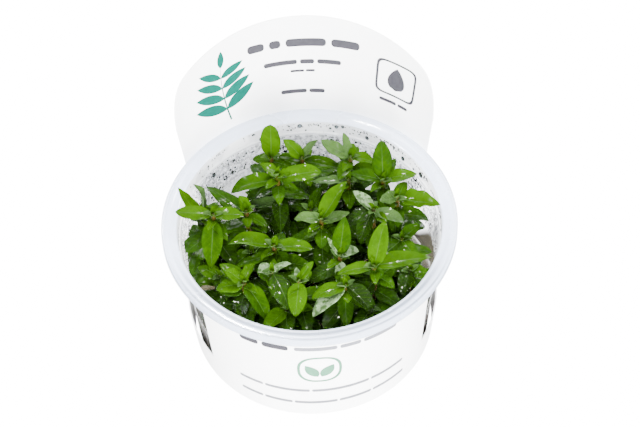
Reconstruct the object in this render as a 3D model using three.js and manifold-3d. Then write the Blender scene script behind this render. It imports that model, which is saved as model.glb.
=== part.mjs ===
// A cup of tissue-cultured staurogyne repens, an aquarium foreground plant, with its lid taken off.
// A clear thin-walled cup holds a disc of nutrient gel. The shoots stand on the gel and crowd its
// mouth with their leaves. A white die-cut card is wrapped round the cup: a low band, a front panel
// and a tall header that leans out behind the flange.
// Millimetres, +Z up. The origin is the middle of the cup's underside, and the front faces -Y.

import * as THREE from 'three';
import { mergeVertices } from 'three/addons/utils/BufferGeometryUtils.js';
import Module from 'manifold-3d';

const wasm = await Module();
wasm.setup();

// ---- driving dimensions ---------------------------------------------------------------------

const GAP = 0.3; // clearance between pieces that touch

const CUP_HEIGHT = 55;
const FLANGE_RADIUS = 50;
const MOUTH_RADIUS = 44.7;
const SEAT_DEPTH = 5.6; // the band under the mouth where the lid plugs in
const SEAT_LEDGE = 1.1; // how far the wall steps in below that band
const FOOT_RADIUS = 41.2;
const WALL = 0.8;
const FLANGE_DISH = 1.2; // the flange's inner edge lies this much below its outer edge
const SKIRT_DEPTH = 2.4;
const CUP_SIDES = 40;

const GEL_TOP = 12;
const GEL_SIDES = 24;

const CARD_THICKNESS = 0.45;
const CARD_LOWER_EDGE = 0.4;
const CARD_FOOT_RADIUS = 42.3; // inside of the card at the table
const CARD_WALL_SLOPE = 0.07; // outward run of the card per mm of height where it hugs the cup
const HEADER_SLOPE = 0.16; // the same for the header, which clears the flange behind it
const CARD_FLAT_RADIUS = 46; // radius at which the flat card's lengths are laid out
const CARD_SEAM = 100; // bearing of the glued seam, degrees from the front towards +X
const CARD_STEP = 6; // the bent card has a fold line at least this often
const CARD_CURVE_STEPS = 6;
const CUT_LEAN = 0.05; // the die-cut sides lean outward this much, so that each has a width
const BAND_HEIGHT = 13;
const PANEL_TOP = 52;
const PANEL_LEFT = -53.7; // bearings of the front panel's two sides
const PANEL_RIGHT = 57.6;
const PANEL_CORNER = 10;
const HEADER_HALF = 44.9; // half of the header's width on the flat card
const HEADER_TOP = 93.6;
const HEADER_ARC = 83.5; // radius of the header's arched top
const HEADER_SHOULDER = 36.5; // half of the arched top's width, where the rounded corners begin

const STEM_RADIUS = 1.35;
const STEM_SIDES = 6;
const STEM_ROWS = 2;
const TIP_RADIUS = 1.0; // the young green axis
const TIP_SIDES = 5;
const BUD_LENGTH = 2.6;
const NODE_SWELLING = 1.2;

const PETIOLE_SHARE = 0.1; // share of a leaf's length that is its stalk
const PETIOLE_WIDTH = 0.16; // stalk width as a share of the blade's
const BLADE_SKEW = 0.85; // below 1 it moves the widest place towards the stalk
const LEAF_FOLD = 14; // degrees that each half of a blade rises from its midrib
const LEAF_THICKNESS = 0.5;
const LEAF_STATIONS = [0, 0.12, 0.42, 0.76, 1];

const OLD_DROP = 9; // the older pair springs from the shoot this far below its tip
const OLD_RISE = -4;
const OLD_LENGTH = 12.5;
const OLD_WIDTH = 6.4;
const OLD_BEND = 22;

// ---- the shoots -------------------------------------------------------------------------------
// Each shoot has its growing tip, the place of its foot on the gel, the heading of its older pair of
// leaves, and its younger leaves.
// A leaf: distance down the shoot from the tip, heading (degrees from +X, counterclockwise), rise
// at the stalk, length, width, bend towards the ground along its length, and its own fold if it
// isn't the usual one.

const SHOOTS = [
  // rear left, under the upright pale leaf
  [[-12, 22.5, 61], [-10, 17], 40, [
    [0, 82, 72, 13, 7, 6],
    [0, 260, 50, 4, 2.4, 0],
    [1.5, 178, 14, 6.5, 3.8, 10],
    [1.5, 340, -2, 8, 5, 25],
    [2.5, 262, -15, 7, 4.6, 25],
  ]],
  // rear middle left, the highest crown
  [[-10, 12, 64], [-7, 8], 0, [
    [0, 150, 28, 7.5, 4.6, 10],
    [0, 330, 35, 4, 2.6, 0],
    [2, 185, 0, 17.5, 7, 25],
    [2, 9, 12, 15, 6.8, 16],
    [5, 345, -5, 7, 4, 10],
    [6, 190, -10, 9, 5, 20],
    [14, 186, 5, 12.5, 6, 12],
    [14, 266, -25, 14.5, 7.6, 40],
  ]],
  // left of the middle
  [[-21, 2, 58], [-19, 1], 50, [
    [0, 127, 60, 6, 4.6, 15],
    [0, 320, 50, 4, 2.6, 10],
    [1.5, 145, 28, 16.5, 6.4, 15],
    [2, 330, 0, 8, 4.4, 20],
  ]],
  // left wall
  [[-35.5, 6, 53], [-31, 5], 60, [
    [0, 176, 88, 17, 5, -3],
    [2, 150, 18, 14, 4.6, -65],
    [3, 60, 10, 9, 4.6, 15],
  ]],
  // left, the pair that reaches over the rim
  [[-32, -0.5, 60], [-28, -3], 30, [
    [0, 171, 5, 13, 5.6, 15],
    [0, 355, 12, 10.5, 5.6, 12],
    [2, 264, -22, 17.5, 8.6, 35, 34],
    [5, 238, -35, 14, 5, 20],
    [9, 210, -30, 12, 6, 20],
  ]],
  // middle front left
  [[-12, -13.3, 58], [-10, -11], 0, [
    [0, 166, 4, 16, 7.4, 15],
    [0, 357, 2, 13, 6, 20],
    [0, 60, 60, 4, 2.6, 0],
    [4, 184, -12, 15, 5, 10],
    [3, 320, -25, 8, 5, 35],
    [5, 80, 5, 11, 6, 20],
  ]],
  // front left
  [[-22.5, -24.5, 54], [-18, -20], 90, [
    [0, 142, 15, 10.5, 5.6, 10],
    [0, 160, 40, 7.5, 5, 10],
    [1, 188, 5, 9.5, 6, 12],
    [1, 310, -5, 14.5, 7, 60],
    [0, 62, 35, 8, 4, 60],
    [6, 250, -20, 9, 5.6, 30],
  ]],
  // middle
  [[4, -4.5, 60], [3, -2], 0, [
    [0, 171, 10, 9.5, 5, 20],
    [0, 46, 32, 15.5, 7, 8],
    [1, 16, 10, 10, 5, 8],
    [3, 203, -15, 8, 4.6, 20],
    [4, 280, -25, 9, 5, 30],
  ]],
  // middle front, with an upright bright leaf
  [[9.6, -16.3, 55], [8, -14], 0, [
    [0, 75, 62, 14.5, 6.4, 5],
    [0, 0, 15, 6.5, 5.6, 10],
    [0, 140, 55, 8, 2.6, 10],
    [2, 273, -38, 11, 4.6, 10],
    [5, 200, -10, 12, 6.4, 20],
  ]],
  // middle right
  [[21.6, -1.5, 60], [19, -2], 90, [
    [0, 235, -20, 13, 6, 30],
    [0, 193, -10, 11, 6, 25],
    [1, 347, -5, 11.5, 6, 30],
    [1, 136, 30, 10, 4.6, 15],
    [0, 340, -35, 7, 4, 40],
    [5, 95, 10, 8, 5, 20],
  ]],
  // right, with the big leaf that curls up at its tip
  [[30, 5, 58], [26, 3], 0, [
    [0, 350, -18, 14.5, 8.6, -30],
    [0, 188, 0, 6, 5.6, 10],
    [1, 60, 35, 7, 4.6, 15],
    [4, 260, -30, 11, 6, 20],
  ]],
  // rear right, under the tall pointed leaf
  [[25.6, 11.3, 60], [22, 9], 0, [
    [0, 9, 10, 12, 5.6, 20],
    [0, 158, 0, 12, 5.6, 10],
    [1, 92, 68, 15, 7, 15],
    [1, 50, 45, 9, 4.6, 20],
    [5, 272, -15, 10, 5, 25],
  ]],
  // rear
  [[15, 21.3, 61], [13, 16], 20, [
    [0, 156, 22, 11.5, 5.6, 12],
    [0, 117, 60, 9, 3.4, 5],
    [0, 347, 5, 8.5, 5, 20],
    [0, 75, 40, 5, 3.6, 20],
    [2, 240, 4, 9, 5.6, 20],
  ]],
  // rear middle
  [[-1.5, 21.8, 61], [-1, 17], 20, [
    [0, 151, 52, 9.5, 5.6, 10],
    [0, 22, 50, 9, 4, 10],
    [1.5, 351, -5, 15, 5.6, 22],
    [1.5, 165, 15, 8.5, 4.6, 15],
    [6, 260, -10, 10, 5.6, 20],
  ]],
  // between the rear and the middle, with a long narrow leaf
  [[14, 14.5, 57], [11, 11], 0, [
    [0, 180, 5, 13, 4, 8],
    [1, 200, -12, 11, 7, 20],
    [0, 0, 5, 8, 4, 15],
  ]],
  // front right, with the big leaf that reaches over the rim
  [[20.5, -23.4, 58], [17, -20], 50, [
    [0, 187, 0, 12.5, 5, 12],
    [0, 9, 5, 19.5, 8, 15],
    [1, 68, 55, 16, 6.6, 10],
    [1, 300, -30, 5, 4.6, 40],
  ]],
  // right, low, with the broad dark leaf
  [[31, -6, 49], [27, -6], 20, [
    [0, 219, -5, 13, 8, 20],
    [0, 40, 20, 8, 5, 20],
    [0, 300, -5, 10, 5.6, 20],
  ]],
  // front, with the long curved leaf
  [[11, -27, 53], [9, -23], 50, [
    [0, 322, -10, 14, 7, 50],
    [0, 218, 0, 15.5, 6, 22],
    [0, 204, 12, 12.5, 6, 15],
    [3, 265, -25, 12, 5.6, 30],
  ]],
  // front middle
  [[-4.3, -26.6, 56], [-4, -22], 10, [
    [0, 262, -22, 12, 6.4, 20],
    [0, 47, 38, 8, 3, 10],
    [0, 100, 30, 5, 2.6, 30],
    [3, 180, -10, 7, 4, 20],
  ]],
  // front middle left, with the wilted silvery leaves
  [[-13, -23.2, 57], [-11, -19], 40, [
    [0, 299, -10, 14, 7.6, 38],
    [0, 20, 45, 7.5, 3, 60],
    [0, 160, 30, 6, 4.6, 80],
  ]],
  // at the front wall, low
  [[-9, -30, 45], [-8, -26], 150, [
    [0, 229, 8, 12, 6, 10],
    [0, 268, 0, 9, 6, 15],
    [0, 0, 10, 9, 5, 15],
  ]],
  // at the front right wall, low
  [[19, -31, 44], [16, -26], 10, [
    [0, 236, 15, 10, 5.6, 12],
    [0, 350, 10, 9, 5.6, 20],
    [0, 130, 10, 7, 4.6, 20],
  ]],
  // at the left front wall, low
  [[-31, -15, 45], [-27, -13], 80, [
    [0, 150, 10, 9, 5.6, 12],
    [0, 280, 10, 11, 6, 20],
    [0, 30, 0, 9, 5, 20],
  ]],
  // at the right front wall, low
  [[33, -17, 46], [28, -15], 50, [
    [0, 340, 14, 6, 4.6, 20],
    [0, 250, 5, 10, 6, 20],
    [0, 150, 0, 9, 5, 20],
  ]],
  // deep in the middle
  [[0.5, 7, 51], [1, 4], 0, [
    [0, 160, 18, 8.5, 6, 20],
    [0, 55, 40, 9, 4, 10],
    [1, 300, 0, 9, 5.6, 25],
  ]],
  // deep on the left
  [[-20, -7, 47], [-19, -7], 50, [
    [0, 85, 10, 8, 5.6, 15],
    [0, 210, -6, 8.5, 5.6, 20],
    [0, 330, 0, 9, 5.6, 20],
  ]],
];

// ---- materials ----------------------------------------------------------------------------------

function finish(color, roughness) {
  return new THREE.MeshStandardMaterial({ color, roughness, metalness: 0 });
}

function clearPlastic() {
  return finish(0xe6ecf0, 0.12);
}

function whiteCard() {
  return finish(0xf4f6f8, 0.6);
}

function agarGel() {
  return finish(0xcfc9ac, 0.25);
}

function brownStem() {
  return finish(0x6b4527, 0.5);
}

function greenLeaf() {
  return finish(0x5c9a12, 0.3);
}

// ---- shared shapes --------------------------------------------------------------------------------

function toSolid(geometry) {
  const bare = geometry.clone();
  bare.deleteAttribute('normal');
  bare.deleteAttribute('uv');
  const merged = mergeVertices(bare, 1e-4);
  return new wasm.Manifold(new wasm.Mesh({
    numProp: 3,
    vertProperties: new Float32Array(merged.attributes.position.array),
    triVerts: new Uint32Array(merged.index.array),
  }));
}

function toGeometry(solid) {
  const mesh = solid.getMesh();
  const geometry = new THREE.BufferGeometry();
  geometry.setAttribute('position', new THREE.BufferAttribute(new Float32Array(mesh.vertProperties), 3));
  geometry.setIndex(new THREE.BufferAttribute(new Uint32Array(mesh.triVerts), 1));
  geometry.computeVertexNormals();
  return geometry;
}

function joined(geometries) {
  const solids = geometries.map(toSolid);
  return toGeometry(solids.reduce((whole, solid) => whole.add(solid)));
}

// Moves every vertex of a geometry to where place() puts it.
function reshaped(geometry, place) {
  const position = geometry.attributes.position;
  const vertex = new THREE.Vector3();
  for (let i = 0; i < position.count; i += 1) {
    vertex.fromBufferAttribute(position, i);
    place(vertex);
    position.setXYZ(i, vertex.x, vertex.y, vertex.z);
  }
  geometry.computeVertexNormals();
  return geometry;
}

// A solid of revolution about Z from a profile of [radius, height] pairs.
function turned(profile, sides) {
  const points = profile.map(([radius, height]) => new THREE.Vector2(radius, height));
  return new THREE.LatheGeometry(points, sides).rotateX(Math.PI / 2);
}

function radians(degrees) {
  return THREE.MathUtils.degToRad(degrees);
}

// ---- cup and gel ------------------------------------------------------------------------------------

function outerWallRadius(height) {
  const ledge = CUP_HEIGHT - FLANGE_DISH - SEAT_DEPTH;
  return FOOT_RADIUS + (MOUTH_RADIUS - SEAT_LEDGE + WALL - FOOT_RADIUS) * (height / ledge);
}

function cupGeometry() {
  const lip = CUP_HEIGHT - FLANGE_DISH;
  const ledge = lip - SEAT_DEPTH;
  const skirt = CUP_HEIGHT - SKIRT_DEPTH;
  const profile = [
    [0, 0],
    [FOOT_RADIUS - 1.6, 0],
    [outerWallRadius(1.4), 1.4],
    [outerWallRadius(ledge - 1), ledge - 1],
    [MOUTH_RADIUS + WALL - 0.25, ledge - 0.4],
    [MOUTH_RADIUS + WALL - 0.25, lip - 1],
    [FLANGE_RADIUS - WALL, CUP_HEIGHT - WALL],
    [FLANGE_RADIUS - WALL, skirt],
    [FLANGE_RADIUS, skirt],
    [FLANGE_RADIUS, CUP_HEIGHT - 0.5],
    [FLANGE_RADIUS - 0.6, CUP_HEIGHT],
    [MOUTH_RADIUS + 0.9, lip + 0.15],
    [MOUTH_RADIUS, lip - 0.5],
    [MOUTH_RADIUS - 0.2, ledge + 0.6],
    [MOUTH_RADIUS - SEAT_LEDGE, ledge],
    [outerWallRadius(2.4) - WALL, 2.4],
    [FOOT_RADIUS - 2.4, WALL],
    [0, WALL],
  ];
  return turned(profile, CUP_SIDES);
}

function gelGeometry() {
  const clearance = WALL + GAP;
  const profile = [
    [0, WALL + GAP],
    [FOOT_RADIUS - 2.8, WALL + GAP],
    [outerWallRadius(2.8) - clearance, 3],
    [outerWallRadius(GEL_TOP) - clearance, GEL_TOP],
    [0, GEL_TOP],
  ];
  return turned(profile, GEL_SIDES);
}

// ---- card sleeve --------------------------------------------------------------------------------------

// Length along the flat card of a bearing, in degrees from the front towards +X.
function cardLength(bearing) {
  return radians(bearing) * CARD_FLAT_RADIUS;
}

// The die-cut upper edge of the flat card, from one side of the seam round to the other.
function cardTopEdge() {
  const seam = cardLength(CARD_SEAM);
  const start = seam - cardLength(360) + GAP;
  const left = cardLength(PANEL_LEFT);
  const right = cardLength(PANEL_RIGHT);
  const back = cardLength(-180);
  const arcCentre = HEADER_TOP - HEADER_ARC;
  const shoulderHeight = arcCentre + Math.sqrt(HEADER_ARC ** 2 - HEADER_SHOULDER ** 2);
  const sweep = Math.asin(HEADER_SHOULDER / HEADER_ARC);
  const cornerTop = HEADER_TOP - 11.6;
  const cornerReach = HEADER_HALF - 2;
  const sideTop = HEADER_TOP - 25.6;
  const sideLean = HEADER_HALF - 0.6;
  const edge = new THREE.Path();
  edge.moveTo(start, BAND_HEIGHT);
  edge.lineTo(back - HEADER_HALF, BAND_HEIGHT);
  edge.lineTo(back - sideLean, sideTop);
  edge.quadraticCurveTo(back - cornerReach, cornerTop, back - HEADER_SHOULDER, shoulderHeight);
  edge.absarc(back, arcCentre, HEADER_ARC, Math.PI / 2 + sweep, Math.PI / 2 - sweep, true);
  edge.quadraticCurveTo(back + cornerReach, cornerTop, back + sideLean, sideTop);
  edge.lineTo(back + HEADER_HALF, BAND_HEIGHT);
  edge.lineTo(left - CUT_LEAN, BAND_HEIGHT);
  edge.lineTo(left, PANEL_TOP - PANEL_CORNER);
  edge.quadraticCurveTo(left, PANEL_TOP, left + PANEL_CORNER, PANEL_TOP);
  edge.lineTo(right - PANEL_CORNER, PANEL_TOP);
  edge.quadraticCurveTo(right, PANEL_TOP, right, PANEL_TOP - PANEL_CORNER);
  edge.lineTo(right + CUT_LEAN, BAND_HEIGHT);
  edge.lineTo(seam, BAND_HEIGHT);
  return edge;
}

// The upper edge's corners, with more between them where the card has to bend.
function cardStations() {
  const corners = cardTopEdge().getPoints(CARD_CURVE_STEPS);
  const stations = [corners[0]];
  for (let i = 1; i < corners.length; i += 1) {
    const from = corners[i - 1];
    const to = corners[i];
    const steps = Math.max(1, Math.ceil((to.x - from.x) / CARD_STEP));
    for (let step = 1; step <= steps; step += 1) {
      stations.push(from.clone().lerp(to, step / steps));
    }
  }
  return stations;
}

// Outward run of the card per mm of height: the wall's in front, the header's behind.
function cardSlope(bearing) {
  const fromFront = Math.abs(THREE.MathUtils.euclideanModulo(bearing + 180, 360) - 180);
  const share = THREE.MathUtils.smoothstep(fromFront, 62, 120);
  return THREE.MathUtils.lerp(CARD_WALL_SLOPE, HEADER_SLOPE, share);
}

function cardGeometry() {
  const stations = cardStations();
  const columns = stations.length - 1;
  const strip = new THREE.BoxGeometry(1, 1, 1, columns, 1, 1);
  return reshaped(strip, (vertex) => {
    const station = stations[Math.round((vertex.x + 0.5) * columns)];
    const height = vertex.y > 0 ? station.y : CARD_LOWER_EDGE;
    const angle = station.x / CARD_FLAT_RADIUS;
    const slope = cardSlope(THREE.MathUtils.radToDeg(angle));
    const outward = vertex.z > 0 ? CARD_THICKNESS : 0;
    const radius = CARD_FOOT_RADIUS + slope * height + outward;
    vertex.set(radius * Math.sin(angle), -radius * Math.cos(angle), height);
  });
}

// ---- shoots ---------------------------------------------------------------------------------------------

// The line of a shoot from its foot on the gel to its growing tip: it leans first, then stands up.
function shootLine([tipX, tipY, tipZ], [footX, footY]) {
  const foot = new THREE.Vector3(footX, footY, GEL_TOP + GAP);
  const tip = new THREE.Vector3(tipX, tipY, tipZ);
  const turn = new THREE.Vector3(tipX, tipY, THREE.MathUtils.lerp(foot.z, tip.z, 0.5));
  return new THREE.QuadraticBezierCurve3(foot, turn, tip);
}

// A round bar along part of a shoot's line, thicker or thinner along its length.
function bar(line, from, to, sides, rows, radiusAt) {
  const geometry = new THREE.CylinderGeometry(1, 1, 1, sides, rows);
  return reshaped(geometry, (vertex) => {
    const share = vertex.y + 0.5;
    const at = THREE.MathUtils.lerp(from, to, share);
    const along = line.getTangent(at);
    const across = new THREE.Vector3(1, 0, 0).addScaledVector(along, -along.x).normalize();
    const aside = new THREE.Vector3().crossVectors(across, along);
    const radius = radiusAt(share);
    const { x, z } = vertex;
    line.getPoint(at, vertex);
    vertex.addScaledVector(across, x * radius).addScaledVector(aside, z * radius);
    vertex.z = Math.max(vertex.z, GEL_TOP + GAP); // the foot stands level on the gel
  });
}

// Half width of a blade along its length, as a share of its greatest half width.
function bladeShare(t) {
  const s = Math.max(0, (t - PETIOLE_SHARE) / (1 - PETIOLE_SHARE));
  const blade = Math.sin(Math.PI * s ** BLADE_SKEW);
  return Math.max(PETIOLE_WIDTH, Math.max(0, blade) ** BLADE_SKEW);
}

function leafGeometry(root, [, heading, rise, length, width, bend, fold = LEAF_FOLD]) {
  const rows = LEAF_STATIONS.length - 1;
  const geometry = new THREE.SphereGeometry(1, 4, rows);
  const flat = new THREE.Vector3(Math.cos(radians(heading)), Math.sin(radians(heading)), 0);
  const side = new THREE.Vector3(-flat.y, flat.x, 0);
  const up = new THREE.Vector3(0, 0, 1);
  const start = radians(rise);
  const curl = radians(bend === 0 ? 0.01 : bend);
  return reshaped(geometry, (vertex) => {
    const row = Math.round((Math.acos(THREE.MathUtils.clamp(vertex.y, -1, 1)) / Math.PI) * rows);
    const t = 1 - LEAF_STATIONS[row];
    const station = LEAF_STATIONS[rows - row];
    const onLeft = vertex.x < -0.1;
    const onRight = vertex.x > 0.1;
    const below = vertex.z < -0.1;
    const slope = start - curl * station;
    const run = (length * (Math.sin(start) - Math.sin(slope))) / curl;
    const lift = (length * (Math.cos(slope) - Math.cos(start))) / curl;
    const along = flat.clone().multiplyScalar(Math.cos(slope)).addScaledVector(up, Math.sin(slope));
    const normal = new THREE.Vector3().crossVectors(along, side);
    vertex.copy(root).addScaledVector(flat, run).addScaledVector(up, lift);
    if (t === 0 || t === 1) return;
    const half = (width / 2) * bladeShare(station);
    if (onLeft || onRight) {
      vertex.addScaledVector(side, (onLeft ? half : -half) * Math.cos(radians(fold)));
      vertex.addScaledVector(normal, half * Math.sin(radians(fold)));
    }
    if (below) vertex.addScaledVector(normal, -LEAF_THICKNESS * (1.5 - station));
  });
}

// The leaves of a shoot with its older pair, whose two leaves face opposite ways.
function withOlderPair(leaves, heading) {
  const older = [heading, heading + 180];
  return [...leaves, ...older.map((way) => [OLD_DROP, way, OLD_RISE, OLD_LENGTH, OLD_WIDTH, OLD_BEND])];
}

function tipShare(line, leaves) {
  const depth = Math.max(...leaves.map((leaf) => leaf[0])) + 1.5;
  return 1 - depth / line.getLength();
}

function stemGeometry(line, leaves) {
  const top = tipShare(line, leaves) - GAP / line.getLength();
  const swollen = (share) => STEM_RADIUS * (share === 1 ? NODE_SWELLING : 1);
  return bar(line, 0, top, STEM_SIDES, STEM_ROWS, swollen);
}

function crownGeometry(line, leaves) {
  const length = line.getLength();
  const axis = bar(line, tipShare(line, leaves), 1, TIP_SIDES, 1, () => TIP_RADIUS);
  const bud = new THREE.ConeGeometry(TIP_RADIUS * 0.9, BUD_LENGTH, TIP_SIDES).rotateX(Math.PI / 2);
  const tip = line.getPoint(1);
  bud.translate(tip.x, tip.y, tip.z + BUD_LENGTH / 2 - 0.2);
  const blades = leaves.map((leaf) => leafGeometry(line.getPoint(1 - leaf[0] / length), leaf));
  return joined([axis, bud, ...blades]);
}

// ---- the assembly -----------------------------------------------------------------------------------------

const group = new THREE.Group();

function addPiece(name, geometry, material) {
  const mesh = new THREE.Mesh(geometry, material);
  mesh.name = name;
  group.add(mesh);
}

addPiece('clear_cup', cupGeometry(), clearPlastic());
addPiece('nutrient_gel', gelGeometry(), agarGel());
addPiece('card_sleeve', cardGeometry(), whiteCard());

SHOOTS.forEach(([tip, foot, olderHeading, youngLeaves], index) => {
  const number = String(index + 1).padStart(2, '0');
  const line = shootLine(tip, foot);
  const leaves = withOlderPair(youngLeaves, olderHeading);
  addPiece(`stem_${number}`, stemGeometry(line, leaves), brownStem());
  addPiece(`leaf_crown_${number}`, crownGeometry(line, leaves), greenLeaf());
});

export default group;
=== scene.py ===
"""A cup of tissue-cultured staurogyne repens with its lid taken off, dressed round its CAD frame.

A clear cup holds nutrient gel and a crowd of leafy shoots, with a printed white card round it.
Run as a script: it builds every piece, the floor, the lights and the camera.
Sizes in the tables are millimetres. The origin is the middle of the cup's underside, and the
front is -Y.
"""

import math
import random

import bmesh
import bpy
from bpy.props import FloatProperty, FloatVectorProperty, IntProperty, PointerProperty
from mathutils import Matrix, Vector


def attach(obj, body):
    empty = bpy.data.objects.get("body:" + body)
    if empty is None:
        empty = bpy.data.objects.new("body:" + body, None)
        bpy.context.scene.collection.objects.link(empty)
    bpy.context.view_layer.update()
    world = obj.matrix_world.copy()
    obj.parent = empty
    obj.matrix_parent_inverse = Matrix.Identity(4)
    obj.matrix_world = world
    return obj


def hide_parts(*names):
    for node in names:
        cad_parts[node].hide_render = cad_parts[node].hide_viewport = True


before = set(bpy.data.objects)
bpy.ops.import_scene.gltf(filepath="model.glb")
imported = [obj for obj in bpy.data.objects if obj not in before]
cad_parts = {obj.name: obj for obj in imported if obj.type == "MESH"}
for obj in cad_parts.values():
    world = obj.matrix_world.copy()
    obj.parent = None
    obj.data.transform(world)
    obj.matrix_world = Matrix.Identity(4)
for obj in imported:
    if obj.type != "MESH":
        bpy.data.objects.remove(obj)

bl_info = {
    "name": "Aquarium plant cup",
    "version": (1, 0, 0),
    "blender": (4, 5, 0),
    "location": "View3D > Sidebar > Plant Cup",
    "description": "Builds a clear cup of young staurogyne repens shoots with its card sleeve",
    "category": "Object",
}

MM = 0.001

# ---- the cup's and the card's fixed shape, in mm ------------------------------------------------

CUP_HEIGHT = 55.0
FLANGE_RADIUS = 50.0
MOUTH_RADIUS = 44.7
SEAT_DEPTH = 5.6
SEAT_LEDGE = 1.1
FOOT_RADIUS = 41.2
WALL = 0.8
FLANGE_DISH = 1.2
SKIRT_DEPTH = 3.2
LIP = CUP_HEIGHT - FLANGE_DISH
LEDGE = LIP - SEAT_DEPTH
GEL_TOP = 12.0
GAP = 0.3

CARD_LOWER_EDGE = 0.4
CARD_FOOT_RADIUS = 42.3
CARD_WALL_SLOPE = 0.07
HEADER_SLOPE = 0.16
CARD_FLAT_RADIUS = 46.0
CARD_SEAM = 100.0
BAND_HEIGHT = 13.0
PANEL_TOP = 52.0
PANEL_SIDES = (-53.7, 57.6)
PANEL_CORNER = 10.0
HEADER_HALF = 44.9
HEADER_TOP = 93.6
HEADER_ARC = 83.5
HEADER_SHOULDER = 36.5
CUT_LEAN = 0.05

# ---- the shoots, in mm and degrees --------------------------------------------------------------
# Growing tip, place of the foot on the gel, heading of the older pair, a letter for each leaf's
# look, and the leaves: distance down from the tip, heading, rise, length, width, bend, and its own
# fold.
# Looks: b bright, m middling, d dark, g dark and wet, p pale and dull, s silvery.

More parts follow.
